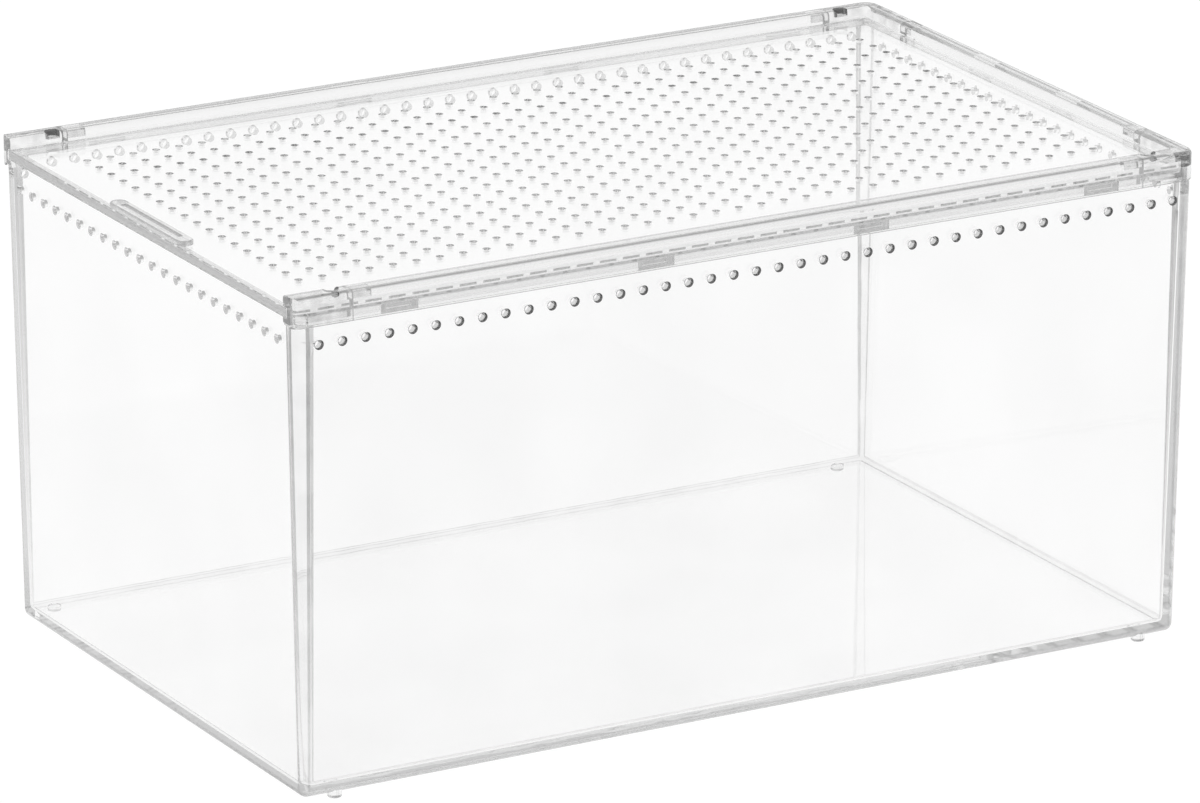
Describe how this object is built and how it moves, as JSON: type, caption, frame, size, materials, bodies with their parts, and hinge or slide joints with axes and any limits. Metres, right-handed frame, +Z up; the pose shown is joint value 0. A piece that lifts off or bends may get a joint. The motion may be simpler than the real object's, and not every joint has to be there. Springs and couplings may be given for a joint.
{
  "type": "insect terrarium",
  "caption": "Clear rectangular insect terrarium: a moulded tub with rows of wall vents, a clipped rail frame and a perforated lid that slides out at one end.",
  "frame": {"origin": "middle of the footprint, on the surface that the four pegs stand on", "axes": "+X to the right along the length, towards the closed end rail; +Y to the rear; +Z up"},
  "size_m": [0.3014, 0.1874, 0.1528],
  "materials": {
    "tub_acrylic": "clear moulded plastic, polished",
    "frame_acrylic": "clear moulded plastic, polished",
    "lid_acrylic": "clear moulded plastic, polished",
    "clip_plastic": "clear moulded plastic, satin at the gates"
  },
  "bodies": {
    "box": {"tub": "tub_acrylic", "front_rail": "frame_acrylic", "rear_rail": "frame_acrylic", "end_rail": "frame_acrylic", "corner_front_left": "frame_acrylic", "corner_front_right": "frame_acrylic", "corner_rear_left": "frame_acrylic", "corner_rear_right": "frame_acrylic", "front_clip_1": "clip_plastic", "front_clip_2": "clip_plastic", "front_clip_3": "clip_plastic", "front_clip_4": "clip_plastic", "rear_clip_1": "clip_plastic", "rear_clip_2": "clip_plastic", "rear_clip_3": "clip_plastic", "rear_clip_4": "clip_plastic", "end_clip_1": "clip_plastic", "end_clip_2": "clip_plastic"},
    "lid": {"lid_plate": "lid_acrylic", "lid_grip": "lid_acrylic"}
  },
  "joints": [
    {"name": "lid_slide", "type": "slide", "parent": "box", "child": "lid", "axis": [-1, 0, 0], "range_m": [0, 0.3]}
  ]
}
